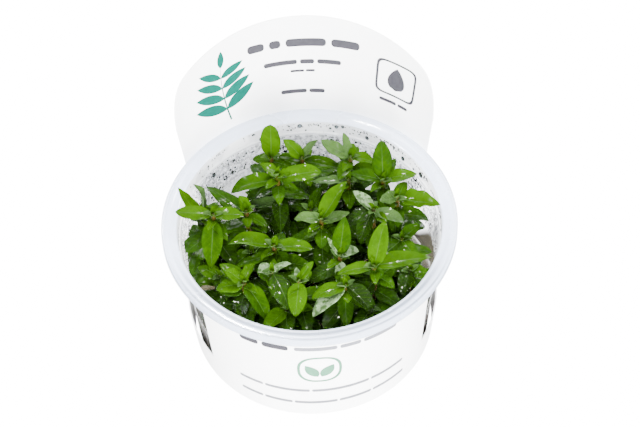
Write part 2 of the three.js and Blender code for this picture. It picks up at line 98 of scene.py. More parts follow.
SHOOTS = (
    # rear left, under the upright pale leaf
    ((-12, 22.5, 61), (-10, 17), 40, "bbmmd", (
        (0, 82, 72, 13, 7, 6, 10, 0.8), (0, 260, 50, 4, 2.4, 0), (1.5, 178, 14, 6.5, 3.8, 10),
        (1.5, 340, -2, 8, 5, 25), (2.5, 262, -15, 7, 4.6, 25),
    )),
    # rear middle left, the highest crown
    ((-10, 12, 64), (-7, 8), 0, "bbmbmdpg", (
        (0, 150, 28, 7.5, 4.6, 10), (0, 330, 35, 4, 2.6, 0), (2, 185, 0, 17.5, 7, 25),
        (2, 9, 12, 15, 6.8, 16), (5, 345, -5, 7, 4, 10), (6, 190, -10, 9, 5, 20),
        (14, 186, 5, 12.5, 6, 12), (14, 266, -25, 14.5, 7.6, 40),
    )),
    # left of the middle
    ((-21, 2, 58), (-19, 1), 50, "bbdm", (
        (0, 127, 60, 6, 4.6, 15), (0, 320, 50, 4, 2.6, 10), (1.5, 145, 28, 16.5, 6.4, 15),
        (2, 330, 0, 8, 4.4, 20),
    )),
    # left wall
    ((-35.5, 6, 53), (-31, 5), 60, "pbm", (
        (0, 176, 88, 17, 5, -3), (2, 150, 18, 14, 4.6, -65), (3, 60, 10, 9, 4.6, 15),
    )),
    # left, the pair that reaches over the rim
    ((-32, -0.5, 60), (-28, -3), 30, "bbmdd", (
        (0, 171, 5, 13, 5.6, 15), (0, 355, 12, 10.5, 5.6, 12), (2, 264, -22, 17.5, 8.6, 35, 34),
        (5, 238, -35, 14, 5, 20), (9, 210, -30, 12, 6, 20),
    )),
    # middle front left
    ((-12, -13.3, 58), (-10, -11), 0, "bbbmmd", (
        (0, 166, 4, 16, 7.4, 15), (0, 357, 2, 13, 6, 20), (0, 60, 60, 4, 2.6, 0),
        (4, 184, -12, 15, 5, 10), (3, 320, -25, 8, 5, 35), (5, 80, 5, 11, 6, 20),
    )),
    # front left
    ((-22.5, -24.5, 54), (-18, -20), 90, "bbbmbg", (
        (0, 142, 15, 10.5, 5.6, 10), (0, 160, 40, 7.5, 5, 10), (1, 188, 5, 9.5, 6, 12),
        (1, 310, -5, 14.5, 7, 60), (0, 62, 35, 8, 4, 60), (6, 250, -20, 9, 5.6, 30),
    )),
    # middle
    ((4, -4.5, 60), (3, -2), 0, "pbpmd", (
        (0, 171, 10, 9.5, 5, 20), (0, 46, 32, 15.5, 7, 8), (1, 16, 10, 10, 5, 8),
        (3, 203, -15, 8, 4.6, 20), (4, 280, -25, 9, 5, 30),
    )),
    # middle front, with an upright bright leaf
    ((9.6, -16.3, 55), (8, -14), 0, "msssd", (
        (0, 75, 62, 14.5, 6.4, 5), (0, 0, 15, 6.5, 5.6, 10), (0, 140, 55, 8, 2.6, 10),
        (2, 273, -38, 11, 4.6, 10), (5, 200, -10, 12, 6.4, 20),
    )),
    # middle right
    ((21.6, -1.5, 60), (19, -2), 90, "ggpspd", (
        (0, 235, -20, 13, 6, 30), (0, 193, -10, 11, 6, 25), (1, 347, -5, 11.5, 6, 30),
        (1, 136, 30, 10, 4.6, 15), (0, 340, -35, 7, 4, 40), (5, 95, 10, 8, 5, 20),
    )),
    # right, with the big leaf that curls up at its tip
    ((30, 5, 58), (26, 3), 0, "bpmd", (
        (0, 350, -18, 14.5, 8.6, -30), (0, 188, 0, 6, 5.6, 10), (1, 60, 35, 7, 4.6, 15),
        (4, 260, -30, 11, 6, 20),
    )),
    # rear right, under the tall pointed leaf
    ((25.6, 11.3, 60), (22, 9), 0, "bmmmd", (
        (0, 9, 10, 12, 5.6, 20), (0, 158, 0, 12, 5.6, 10), (1, 92, 68, 15, 7, 15),
        (1, 50, 45, 9, 4.6, 20), (5, 272, -15, 10, 5, 25),
    )),
    # rear
    ((15, 21.3, 61), (13, 16), 20, "ppbbm", (
        (0, 156, 22, 11.5, 5.6, 12), (0, 117, 60, 9, 3.4, 5), (0, 347, 5, 8.5, 5, 20),
        (0, 75, 40, 5, 3.6, 20), (2, 240, 4, 9, 5.6, 20),
    )),
    # rear middle
    ((-1.5, 21.8, 61), (-1, 17), 20, "bpmmd", (
        (0, 151, 52, 9.5, 5.6, 10), (0, 22, 50, 9, 4, 10), (1.5, 351, -5, 15, 5.6, 22),
        (1.5, 165, 15, 8.5, 4.6, 15), (6, 260, -10, 10, 5.6, 20),
    )),
    # between the rear and the middle, with a long narrow leaf
    ((14, 14.5, 57), (11, 11), 0, "pgm", (
        (0, 180, 5, 13, 4, 8), (1, 200, -12, 11, 7, 20), (0, 0, 5, 8, 4, 15),
    )),
    # front right, with the big leaf that reaches over the rim
    ((20.5, -23.4, 58), (17, -20), 50, "bbbm", (
        (0, 187, 0, 12.5, 5, 12), (0, 9, 5, 19.5, 8, 15), (1, 68, 55, 16, 6.6, 10),
        (1, 300, -30, 5, 4.6, 40),
    )),
    # right, low, with the broad dark leaf
    ((31, -6, 49), (27, -6), 20, "dmm", (
        (0, 219, -5, 13, 8, 20), (0, 40, 20, 8, 5, 20), (0, 300, -5, 10, 5.6, 20),
    )),
    # front, with the long curved leaf
    ((11, -27, 53), (9, -23), 50, "gsbm", (
        (0, 322, -10, 14, 7, 50), (0, 218, 0, 15.5, 6, 22), (0, 204, 12, 12.5, 6, 15),
        (3, 265, -25, 12, 5.6, 30),
    )),
    # front middle
    ((-4.3, -26.6, 56), (-4, -22), 10, "bbsm", (
        (0, 262, -22, 12, 6.4, 20), (0, 47, 38, 8, 3, 10), (0, 100, 30, 5, 2.6, 30),
        (3, 180, -10, 7, 4, 20),
    )),
    # front middle left, with the wilted silvery leaves
    ((-13, -23.2, 57), (-11, -19), 40, "gss", (
        (0, 299, -10, 14, 7.6, 38), (0, 20, 45, 7.5, 3, 60), (0, 160, 30, 6, 4.6, 80),
    )),
    # at the front wall, low
    ((-9, -30, 45), (-8, -26), 150, "bdm", (
        (0, 229, 8, 12, 6, 10), (0, 268, 0, 9, 6, 15), (0, 0, 10, 9, 5, 15),
    )),
    # at the front right wall, low
    ((19, -31, 44), (16, -26), 10, "ddm", (
        (0, 236, 15, 10, 5.6, 12), (0, 350, 10, 9, 5.6, 20), (0, 130, 10, 7, 4.6, 20),
    )),
    # at the left front wall, low
    ((-31, -15, 45), (-27, -13), 80, "mdm", (
        (0, 150, 10, 9, 5.6, 12), (0, 280, 10, 11, 6, 20), (0, 30, 0, 9, 5, 20),
    )),
    # at the right front wall, low
    ((33, -17, 46), (28, -15), 50, "mdd", (
        (0, 340, 14, 6, 4.6, 20), (0, 250, 5, 10, 6, 20), (0, 150, 0, 9, 5, 20),
    )),
    # deep in the middle
    ((0.5, 7, 51), (1, 4), 0, "gmd", (
        (0, 160, 18, 8.5, 6, 20), (0, 55, 40, 9, 4, 10), (1, 300, 0, 9, 5.6, 25),
    )),
    # deep on the left
    ((-20, -7, 47), (-19, -7), 50, "dmd", (
        (0, 85, 10, 8, 5.6, 15), (0, 210, -6, 8.5, 5.6, 20), (0, 330, 0, 9, 5.6, 20),
    )),
)

# Tone (0 dark to 1 bright) and silveriness of each look.
LEAF_LOOKS = {
    "b": (0.92, 0.0), "m": (0.6, 0.0), "d": (0.3, 0.0), "g": (0.15, 0.0), "p": (0.7, 0.2),
    "s": (0.5, 1.0),
}

# Where the small lights stand, in metres.
SPARKS = (
    (-0.35, 0.15, 0.75), (0.4, 0.35, 0.6), (0.05, 0.6, 0.55), (-0.2, -0.5, 0.8),
    (0.25, -0.1, 0.85), (-0.1, 0.3, 0.85), (-0.5, 0.45, 0.5), (0.55, 0.0, 0.55),
)

# Bands of water drops on the cup's wall: how many clumps of how many drops, lowest and highest
# place, first and last bearing, smallest and largest radius. The bearing of the back is 180.
DROP_BANDS = (
    (20, 6, LIP - 1.5, LIP - 0.7, 120, 240, 0.2, 0.42),
    (9, 5, LIP - 3.4, LIP - 1.6, 125, 235, 0.18, 0.4),
    (40, 1, LEDGE + 0.8, LIP - 1.5, 80, 280, 0.14, 0.4),
    (26, 6, LEDGE - 0.3, LEDGE + 0.3, 95, 262, 0.2, 0.42),
    (52, 7, LEDGE - 9.0, LEDGE - 0.8, 88, 272, 0.18, 0.55),
    (46, 6, LEDGE - 22.0, LEDGE - 7.0, 92, 268, 0.2, 0.6),
    (34, 6, LEDGE - 12.0, LIP - 1.0, 86, 126, 0.2, 0.5),
)
# Single big drops: bearing, height, radius.
BIG_DROPS = (
    (182.4, 52.3, 1.05), (179.7, 49.6, 0.5), (168.4, 51.1, 0.55), (165.5, 52.4, 0.9),
    (162.5, 52.9, 0.8), (166.9, 49.6, 0.4), (172.7, 51.4, 0.4), (150.7, 50.6, 1.0),
    (150.7, 44.4, 0.5), (130.4, 50.2, 1.1), (123.4, 49.3, 0.6), (117.3, 50.9, 1.25),
    (186.4, 50.4, 0.5), (201.0, 49.4, 0.9), (229.2, 46.6, 1.15), (218.1, 41.0, 0.8),
    (230.6, 51.3, 0.6), (204.6, 52.8, 0.5),
)

# Dark leaves pressed to the wall, by the shoot's number: drop, heading, rise, length, width, bend.
WALL_LEAVES = {
    5: (
        (12, 196, -8, 14, 7.5, 12), (16, 218, -10, 15, 8, 12), (20, 180, -5, 15, 8, 10),
        (21, 236, -8, 15, 8, 10), (26, 205, 0, 15, 8, 10),
    ),
    8: ((11, 20, -6, 13, 7, 12),),
    9: (
        (12, 12, -10, 14, 8, 12), (15, 338, -8, 14, 8, 12), (19, 24, -8, 15, 8, 10),
        (23, 350, -4, 15, 8, 10), (27, 14, 0, 15, 8, 10),
    ),
}
OLDER_PAIR = (9, -4, 12.5, 6.4, 22)  # drop, rise, length, width, bend
COLLAR_PAIR = (4.6, 8, 8.5, 4.8, 24)  # the same, between the crown and the older pair
INNER_PAIR = (2.4, 26, 6.4, 3.5, 26)  # the same, just under the bud, askew to the rest
# The folded leaves of the bud: drop, turn from the older pair, rise, length, width, bend, fold.
BUD_LEAVES = (
    (0.1, 62, 66, 3.6, 2.2, 12, 42),
    (0.1, 242, 58, 3.2, 2.0, 12, 42),
    (0.8, 152, 46, 4.4, 2.6, 20, 34),
    (0.8, 332, 40, 4.0, 2.5, 20, 34),
)
# The pairs below it on the bare stem: drop, turn from the older pair, rise, length, width, bend.
LOWER_PAIRS = (
    (13, 90, 6, 12.5, 6.6, 24),
    (17.5, 20, 2, 12.5, 6.6, 26),
    (22, 115, 8, 12.0, 6.2, 28),
    (27, 55, 10, 11.0, 6.0, 30),
    (32, 150, 14, 10.0, 5.4, 30),
    (37, 80, 18, 9.0, 5.0, 30),
)

# ---- the print and the stage --------------------------------------------------------------------

INK_LIFT = 0.06  # the ink stands this far off the card, in mm
# Rows of bars: start and end along the card, height, width, and the bars' shares of the length.
HEADER_BARS = (
    (15.7, -16.9, 82.8, 3.3, (3, 2, 7, 5)),
    (11.4, -11.6, 74.6, 1.9, (7, 3, 5)),
    (3.6, -3.8, 70.7, 1.0, (3, 2)),
    (6.9, -6.7, 61.9, 1.7, (5, 3)),
    (-24.2, -34.2, 64.0, 1.3, (5, 3)),
)
FRONT_BARS = ((-26, -9, 44.2, 2.9, (6, 8)),)
FRONT_LINES = (
    (-7, 29, 44.2, 2.2, (8, 4, 7)),
    (-29, 34, 16.8, 1.6, (4, 7, 9, 6)),
    (-29, 35, 8.6, 1.6, (5, 6, 9, 7, 8)),
)
# The rim's grooves are only bumped in, and darkened with painted shade.
RIM_HOLLOWS = ((46.5, 1.3), (49.1, 0.7))  # radius and half width of each groove in the rim, in mm
WHITE_GLOW = 12.0  # brightness of the floor and the room for the camera alone
CAMERA_PITCH = 51.59  # degrees down
CAMERA_ROLL = -2.64
CAMERA_DISTANCE = 0.6  # in metres
CAMERA_LENS = 100.2
CAMERA_SHIFT = (0.0169, 0.0081)
DROP_SEED = 7


# ---- sizes and colours that a user may change ---------------------------------------------------


def colour_property(name, description, default):
    return FloatVectorProperty(
        name=name, description=description, default=default, subtype="COLOR", size=3, min=0, max=1
    )


def length_property(name, description, default, least, most):
    """A length that is given in mm here and kept in metres."""
    return FloatProperty(
        name=name, description=description, default=default * MM, min=least * MM, max=most * MM,
        unit="LENGTH",
    )


def power_property(name, description, default, most=200):
    return FloatProperty(
        name=name, description=description, default=default, min=0, max=most, unit="POWER"
    )


def steps_property(name, description, default, least, most):
    return IntProperty(name=name, description=description, default=default, min=least, max=most)


class CupSettings(bpy.types.PropertyGroup):
    """Sizes and colours of the cup and the gel."""

    segments: steps_property("Segments", "Steps round the cup", 144, 24, 256)
    edge_rounding: length_property("Edge rounding", "Bevel along the cup's rims", 0.15, 0.01, 0.3)
    plastic_colour: colour_property("Plastic", "Tint of the clear plastic", (0.955, 0.97, 0.985))
    seat_colour: colour_property("Seat", "Colour of the seat inside the lip", (0.97, 0.99, 1.0))
    rim_shade: colour_property("Rim shade", "Colour in the rim's hollows", (0.18, 0.215, 0.28))
    rim_colour: colour_property("Rim", "Colour of the milky rim", (0.66, 0.73, 0.86))
    gel_colour: colour_property("Gel", "Colour of the nutrient gel", (0.13, 0.115, 0.055))


class CardSettings(bpy.types.PropertyGroup):
    """Sizes and colours of the printed card."""

    thickness: length_property("Thickness", "Thickness of the card", 0.45, 0.2, 0.45)
    card_colour: colour_property("Card", "Colour of the card", (0.97, 0.975, 0.98))
    ink_grey: colour_property("Grey ink", "Colour of the printed bars", (0.033, 0.032, 0.038))
    ink_soft: colour_property("Soft grey ink", "Colour of the thin front bars", (0.13, 0.135, 0.15))
    ink_pale: colour_property("Pale ink", "Colour of the round mark in front", (0.06, 0.16, 0.1))
    ink_green: colour_property("Green ink", "Colour of the printed leaves", (0.0, 0.062, 0.046))


class PlantSettings(bpy.types.PropertyGroup):
    """Sizes and colours of the shoots."""

    leaf_rows: steps_property("Leaf rows", "Faces along a leaf", 18, 8, 32)
    leaf_columns: steps_property("Leaf columns", "Faces across a leaf", 10, 4, 16)
    leaf_thickness: length_property("Leaf thickness", "Thickness of a leaf", 0.3, 0.1, 0.5)
    stem_radius: length_property("Stem radius", "Radius of a bare stem", 1.3, 0.8, 1.5)
    dark_leaf: colour_property("Dark leaf", "Colour of the oldest leaves", (0.005, 0.012, 0.0018))
    middle_leaf: colour_property("Middling leaf", "Colour of grown leaves", (0.008, 0.0265, 0.0004))
    bright_leaf: colour_property("Bright leaf", "Colour of young leaves", (0.018, 0.052, 0.0001))
    silver_leaf: colour_property("Silvery leaf", "Colour of dull leaves", (0.1, 0.155, 0.075))
    stem_colour: colour_property("Stem", "Colour of the bare stems", (0.055, 0.019, 0.008))


class StageSettings(bpy.types.PropertyGroup):
    """The floor, the lights and the camera."""

    floor_colour: colour_property("Floor", "Colour of the floor", (0.92, 0.92, 0.92))
    top_power: power_property("Overhead power", "Power of the soft light overhead", 8.0)
    front_power: power_property("Front power", "Power of the soft light in front", 95.0)
    spark_power: power_property("Spark power", "Power of each small light on wet leaves", 4.5, 50)
    world_strength: FloatProperty(
        name="Room light", description="Strength of the even light from all round", default=0.9,
        min=0, max=30,
    )


# ---- meshes -------------------------------------------------------------------------------------


def finished(name, bm, materials, replaces=(), sharp=40.0):
    """Makes the object of a bmesh laid out in mm, and ties it to the frame."""
    bmesh.ops.scale(bm, vec=(MM, MM, MM), verts=bm.verts)
    for face in bm.faces:
        face.smooth = True
    for edge in bm.edges:
        edge.smooth = edge.is_manifold and edge.calc_face_angle(0) < math.radians(sharp)
    mesh = bpy.data.meshes.new(name)
    bm.to_mesh(mesh)
    bm.free()
    piece = bpy.data.objects.new(name, mesh)
    bpy.context.scene.collection.objects.link(piece)
    for material in materials:
        mesh.materials.append(material)
    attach(piece, "root")
    if replaces:
        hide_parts(*replaces)
    return piece


def joined(parts):
    """One bmesh of many, each of which is freed."""
    whole = bmesh.new()
    carrier = bpy.data.meshes.new("carrier")
    for part in parts:
        part.to_mesh(carrier)
        part.free()
        whole.from_mesh(carrier)
    bpy.data.meshes.remove(carrier)
    return whole


def turned(profile, steps):
    """A closed solid of revolution about Z from a profile of (radius, height) pairs."""
    bm = bmesh.new()
    corners = [bm.verts.new((radius, 0, height)) for radius, height in profile]
    edges = [bm.edges.new(pair) for pair in zip(corners, corners[1:])]
    bmesh.ops.spin(
        bm, geom=corners + edges, cent=(0, 0, 0), axis=(0, 0, 1), angle=math.tau, steps=steps,
        use_merge=True,
    )
    bmesh.ops.remove_doubles(bm, verts=bm.verts, dist=0.001)
    bmesh.ops.recalc_face_normals(bm, faces=bm.faces)
    return bm


def round_rings(bm, width, least_angle):
    """Rounds the rings of a turned solid where its profile turns a sharp corner."""
    rings = [
        edge
        for edge in bm.edges
        if abs(edge.verts[0].co.z - edge.verts[1].co.z) < 1e-4
        and edge.verts[0].co.xy.length > 1
        and edge.calc_face_angle(0) > math.radians(least_angle)
    ]
    bmesh.ops.bevel(
        bm, geom=rings, offset=width, offset_type="OFFSET", segments=2, profile=0.5,
        affect="EDGES", material=-1, clamp_overlap=True,
    )


def outer_wall_radius(height):
    return FOOT_RADIUS + (MOUTH_RADIUS - SEAT_LEDGE + WALL - FOOT_RADIUS) * (height / LEDGE)


def inner_wall_radius(height):
    if height >= LEDGE:
        return MOUTH_RADIUS - 0.2
    return outer_wall_radius(height) - WALL


def cup_profile():
    outside = MOUTH_RADIUS + WALL - 0.25
    skirt = CUP_HEIGHT - SKIRT_DEPTH
    return (
        (0, 0),
        (FOOT_RADIUS - 1.6, 0),
        (FOOT_RADIUS - 0.6, 0.35),
        (outer_wall_radius(1.4), 1.4),
        (outer_wall_radius(LEDGE * 0.5), LEDGE * 0.5),
        (outer_wall_radius(LEDGE - 1), LEDGE - 1),
        (outside, LEDGE - 0.4),
        (outside, LIP - 1),
        (FLANGE_RADIUS - WALL, CUP_HEIGHT - WALL),
        (FLANGE_RADIUS - WALL, skirt),
        (FLANGE_RADIUS, skirt),
        (FLANGE_RADIUS, CUP_HEIGHT - 0.5),
        (FLANGE_RADIUS - 0.6, CUP_HEIGHT),
        (MOUTH_RADIUS + 0.9, LIP + 0.15),
        (MOUTH_RADIUS + 0.2, LIP - 0.1),
        (MOUTH_RADIUS, LIP - 0.5),
        (MOUTH_RADIUS - 0.2, LEDGE + 0.6),
        (MOUTH_RADIUS - SEAT_LEDGE, LEDGE),
        (outer_wall_radius(LEDGE * 0.5) - WALL, LEDGE * 0.5),
        (outer_wall_radius(2.4) - WALL, 2.4),
        (FOOT_RADIUS - 2.4, WALL),
        (0, WALL),
    )


# ---- the card -----------------------------------------------------------------------------------


def card_length(bearing):
    """Length along the flat card of a bearing, in degrees from the front towards +X."""
    return math.radians(bearing) * CARD_FLAT_RADIUS


def curve(start, turn, end, at):
    """The point at a share of a quadratic curve."""
    return tuple(
        (1 - at) ** 2 * a + 2 * at * (1 - at) * b + at * at * c for a, b, c in zip(start, turn, end)
    )


def curve_points(start, turn, end, steps):
    """Points of a quadratic curve after its start."""
    return [curve(start, turn, end, step / steps) for step in range(1, steps + 1)]


def card_top_edge():
    """Corners of the die-cut upper edge, from one side of the seam round to the other."""
    seam = card_length(CARD_SEAM)
    left, right = (card_length(side) for side in PANEL_SIDES)
    back = card_length(-180)
    arc_centre = HEADER_TOP - HEADER_ARC
    shoulder = arc_centre + math.sqrt(HEADER_ARC**2 - HEADER_SHOULDER**2)
    sweep = math.asin(HEADER_SHOULDER / HEADER_ARC)
    corner_top = HEADER_TOP - 11.6
    reach = HEADER_HALF - 2
    side_top = HEADER_TOP - 25.6
    lean = HEADER_HALF - 0.6
    edge = [(seam - card_length(360) + GAP, BAND_HEIGHT), (back - HEADER_HALF, BAND_HEIGHT)]
    edge.append((back - lean, side_top))
    crest = (back - HEADER_SHOULDER, shoulder)
    edge += curve_points(edge[-1], (back - reach, corner_top), crest, 14)
    for step in range(1, 41):
        angle = sweep * (step / 20 - 1)
        aside, rise = HEADER_ARC * math.sin(angle), HEADER_ARC * math.cos(angle)
        edge.append((back + aside, arc_centre + rise))
    edge += curve_points(edge[-1], (back + reach, corner_top), (back + lean, side_top), 14)
    edge += [(back + HEADER_HALF, BAND_HEIGHT), (left - CUT_LEAN, BAND_HEIGHT)]
    edge.append((left, PANEL_TOP - PANEL_CORNER))
    edge += curve_points(edge[-1], (left, PANEL_TOP), (left + PANEL_CORNER, PANEL_TOP), 12)
    edge.append((right - PANEL_CORNER, PANEL_TOP))
    edge += curve_points(edge[-1], (right, PANEL_TOP), (right, PANEL_TOP - PANEL_CORNER), 12)
    edge += [(right + CUT_LEAN, BAND_HEIGHT), (seam, BAND_HEIGHT)]
    return edge


def with_steps(corners, longest):
    """The same line of points, with more between them where they lie far apart."""
    points = [corners[0]]
    for before, after in zip(corners, corners[1:]):
        steps = max(1, math.ceil((after[0] - before[0]) / longest))
        for step in range(1, steps + 1):
            share = step / steps
            points.append(tuple(a + (b - a) * share for a, b in zip(before, after)))
    return points


def card_slope(bearing):
    """Outward run of the card per mm of height: the wall's in front, the header's behind."""
    from_front = abs((bearing + 180) % 360 - 180)
    share = min(1, max(0, (from_front - 62) / (120 - 62)))
    return CARD_WALL_SLOPE + (HEADER_SLOPE - CARD_WALL_SLOPE) * share * share * (3 - 2 * share)


def on_card(length, height, lift):
    """The place on the bent card of a point on the flat one, lift mm outside its inner face."""
    angle = length / CARD_FLAT_RADIUS
    radius = CARD_FOOT_RADIUS + card_slope(math.degrees(angle)) * height + lift
    return Vector((radius * math.sin(angle), -radius * math.cos(angle), height))


def thickened(bm, faces, place_outer):
    """Gives a sheet its thickness: a second skin is extruded and put where place_outer says."""
    grown = bmesh.ops.extrude_face_region(bm, geom=faces, use_keep_orig=True)["geom"]
    for vert in (part for part in grown if isinstance(part, bmesh.types.BMVert)):
        place_outer(vert)


def card_sheet(bm, points, rows, inner, outer):
    """A strip of card between its lower edge and a line of points, bent round the cup."""
    columns = len(points) - 1
    length = bm.verts.layers.float.new("length")
    height = bm.verts.layers.float.new("height")
    flat = bm.loops.layers.uv.new("flat_card")
    bmesh.ops.create_grid(bm, x_segments=columns, y_segments=rows, size=1)
    for vert in bm.verts:
        vert[length], top = points[round((vert.co.x + 1) / 2 * columns)]
        vert[height] = CARD_LOWER_EDGE + (top - CARD_LOWER_EDGE) * (vert.co.y + 1) / 2
        vert.co = on_card(vert[length], vert[height], inner)

    def put_outside(vert):
        vert.co = on_card(vert[length], vert[height], outer)

    thickened(bm, bm.faces[:], put_outside)
    for face in bm.faces:
        for loop in face.loops:
            loop[flat].uv = (loop.vert[length], loop.vert[height])
    bmesh.ops.recalc_face_normals(bm, faces=bm.faces)


# ---- print on the card --------------------------------------------------------------------------


def print_patch(bm, columns, rows, place, lift):
    """A printed patch: a grid laid on the card by place(across, along), both from -1 to 1."""
    verts = bmesh.ops.create_grid(bm, x_segments=columns, y_segments=rows, size=1)["verts"]
    spots = {vert: place(vert.co.x, vert.co.y) for vert in verts}
    for vert, (length, height) in spots.items():
        vert.co = on_card(length, height, lift)


def printed_bar(bm, start, end, height, width, lift):
    """A bar with rounded corners, level on the card."""
    half = (end - start) / 2
    middle = (end + start) / 2
    radius = min(width * 0.35, half)

    def place(across, along):
        reach = abs(across) * half
        inset = max(0.0, reach - (half - radius))
        rise = width / 2 - radius + math.sqrt(max(0.0, radius**2 - inset**2))
        return middle + across * half, height + along * rise

    print_patch(bm, min(64, max(12, int(half * 8))), 2, place, lift)


def printed_dashes(bm, start, end, height, width, shares, lift):
    """A row of bars along the card, whose lengths go by their shares."""
    gap = width * 0.45 * (1 if end > start else -1)
    room = end - start - gap * (len(shares) - 1)
    for share in shares:
        length = room * share / sum(shares)
        printed_bar(bm, min(start, start + length), max(start, start + length), height, width, lift)
        start += length + gap


def printed_leaf(bm, base, turn, length, width, lift, foot=0.8, point=1.0):
    """A leaf from its base on the flat card, turned from upright; the powers shape its ends."""
    lean = math.radians(turn)
    ahead = (math.sin(lean), math.cos(lean))
    widest = foot / (foot + point)

    def place(across, along):
        share = (along + 1) / 2
        half = width / 2 * (share / widest) ** foot * ((1 - share) / (1 - widest)) ** point
        side = across * half
        forward = share * length
        return (
            base[0] + ahead[0] * forward + ahead[1] * side,
            base[1] + ahead[1] * forward - ahead[0] * side,
        )

    print_patch(bm, 2, 10, place, lift)


def printed_ring(bm, centre, half_width, half_height, line, squareness, lift):
    """A closed outline between a circle (squareness 2) and a square (large)."""

    def place(across, along):
        angle = along * math.pi
        cosine, sine = math.cos(angle), math.sin(angle)
        reach = (abs(cosine) ** squareness + abs(sine) ** squareness) ** (-1 / squareness)
        return (
            centre[0] + cosine * reach * (half_width + across * line / 2),
            centre[1] + sine * reach * (half_height + across * line / 2),
        )

    print_patch(bm, 1, 72, place, lift)


def printed_branch(bm, points, pairs, length, width, lift):
    """A curved twig through three points on the flat card, with leaves in pairs."""
    start, turn, end = points

    def heading(at):
        ahead = [(1 - at) * (b - a) + at * (c - b) for a, b, c in zip(start, turn, end)]
        return math.degrees(math.atan2(*ahead))

    def place(across, along):
        at = (along + 1) / 2
        middle, lean = curve(*points, at), math.radians(heading(at))
        half = 0.28 * (1.1 - at) * across
        return middle[0] + math.cos(lean) * half, middle[1] - math.sin(lean) * half

    print_patch(bm, 1, 24, place, lift)
    for step in range(pairs):
        at = 0.2 + 0.78 * step / pairs
        size = 1.08 - 0.5 * at
        for side in (-58, 58):
            base, lean = curve(*points, at), heading(at) + side
            printed_leaf(bm, base, lean, length * size, width * size, lift)
    printed_leaf(bm, curve(*points, 0.98), heading(1.0), length * 0.55, width * 0.5, lift)


# ---- shoots -------------------------------------------------------------------------------------


class ShootLine:
    """The line of a shoot from its foot on the gel to its growing tip."""

    def __init__(self, tip, foot):
        self.foot = Vector((*foot, GEL_TOP + GAP))
        self.tip = Vector(tip)
        self.turn = Vector((tip[0], tip[1], (self.foot.z + self.tip.z) / 2))
        points = [self.point(step / 100) for step in range(101)]
        self.length = sum((b - a).length for a, b in zip(points, points[1:]))

    def point(self, at):
        return (1 - at) ** 2 * self.foot + 2 * at * (1 - at) * self.turn + at * at * self.tip

    def frame(self, at, radius):
        """Where a ring of that radius stands at a share of the line."""
        along = 2 * (1 - at) * (self.turn - self.foot) + 2 * at * (self.tip - self.turn)
        along.normalize()
        across = (Vector((1, 0, 0)) - along * along.x).normalized()
        aside = along.cross(across)
        turn = Matrix((across, aside, along)).transposed().to_4x4()
        size = Matrix.Diagonal((radius, radius, radius, 1))
        return Matrix.Translation(self.point(at)) @ turn @ size


def lay_bar(bm, line, start, end, sides, rows, radius_at):
    """A round bar along part of a shoot's line, grown ring by ring."""
    frame_before = line.frame(start, radius_at(0))
    ring = bmesh.ops.create_circle(
        bm, cap_ends=True, segments=sides, radius=1, matrix=frame_before
    )["verts"]
    edges = list({edge for vert in ring for edge in vert.link_edges})
    for row in range(1, rows + 1):
        share = row / rows
        grown = bmesh.ops.extrude_edge_only(bm, edges=edges)["geom"]
        ring = [part for part in grown if isinstance(part, bmesh.types.BMVert)]
        edges = [part for part in grown if isinstance(part, bmesh.types.BMEdge)]
        frame_now = line.frame(start + (end - start) * share, radius_at(share))
        bmesh.ops.transform(bm, matrix=frame_now @ frame_before.inverted(), verts=ring)
        frame_before = frame_now
    bmesh.ops.contextual_create(bm, geom=edges)


def leafy_bmesh():
    """An empty bmesh with the layers that a leaf needs."""
    bm = bmesh.new()
    bm.verts.layers.float.new("across")
    bm.verts.layers.float.new("along")
    bm.verts.layers.float_color.new("leaf_look")
    bm.loops.layers.uv.new("leaf_map")
    return bm


def blade_share(along, blunt):
    """Half width of a blade along its length, as a share of its greatest half width."""
    base, point = 0.52, 0.88 - 0.5 * blunt
    widest = base / (base + point)
    s = max(0.0, (along - 0.05) / 0.95)
    blade = (s / widest) ** base * (max(0.0, 1 - s) / (1 - widest)) ** point
    return max(0.2 if along < 0.3 else 0.012, blade)


def inside_cup(spot):
    """Keeps a spot that lies below the lip off the cup's wall and off the gel."""
    if spot.z < LIP - 0.2:
        reach = spot.xy.length
        room = inner_wall_radius(spot.z) - 0.5
        if reach > room:
            spot.x *= room / reach
            spot.y *= room / reach
    spot.z = max(spot.z, GEL_TOP + GAP)
    return spot


